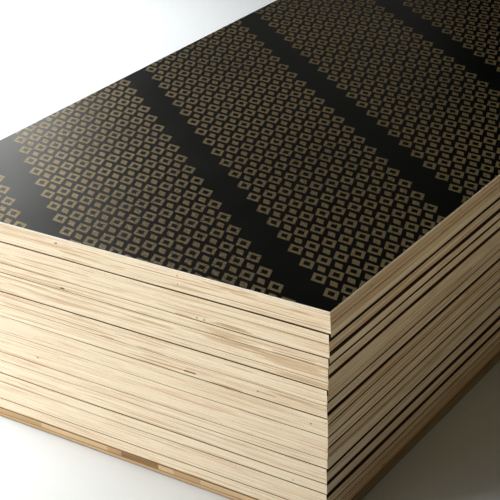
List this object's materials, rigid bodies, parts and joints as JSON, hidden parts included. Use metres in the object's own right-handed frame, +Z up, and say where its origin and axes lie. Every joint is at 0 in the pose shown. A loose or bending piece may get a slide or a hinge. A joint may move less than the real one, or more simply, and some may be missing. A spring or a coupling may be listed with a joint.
{
  "type": "stack of film-faced plywood sheets",
  "caption": "Stack of film-faced plywood sheets lying flat on a plain base board, with pale layered edges and a dark printed top face.",
  "frame": {"origin": "middle of the underside of the whole stack, on the floor that it stands on", "axes": "+X along the short side of the sheets, +Y along the long side, +Z up"},
  "size_m": [1.2384, 2.454, 0.54],
  "materials": {
    "film_faced_plywood": "satin film on both faces, raw sanded edges",
    "base_board_wood": "raw sawn"
  },
  "bodies": {
    "root": {"base_board": "base_board_wood", "plywood_sheet_01": "film_faced_plywood", "plywood_sheet_02": "film_faced_plywood", "plywood_sheet_03": "film_faced_plywood", "plywood_sheet_04": "film_faced_plywood", "plywood_sheet_05": "film_faced_plywood", "plywood_sheet_06": "film_faced_plywood", "plywood_sheet_07": "film_faced_plywood", "plywood_sheet_08": "film_faced_plywood", "plywood_sheet_09": "film_faced_plywood", "plywood_sheet_10": "film_faced_plywood", "plywood_sheet_11": "film_faced_plywood", "plywood_sheet_12": "film_faced_plywood", "plywood_sheet_13": "film_faced_plywood", "plywood_sheet_14": "film_faced_plywood", "plywood_sheet_15": "film_faced_plywood", "plywood_sheet_16": "film_faced_plywood", "plywood_sheet_17": "film_faced_plywood", "plywood_sheet_18": "film_faced_plywood", "plywood_sheet_19": "film_faced_plywood"}
  },
  "joints": []
}
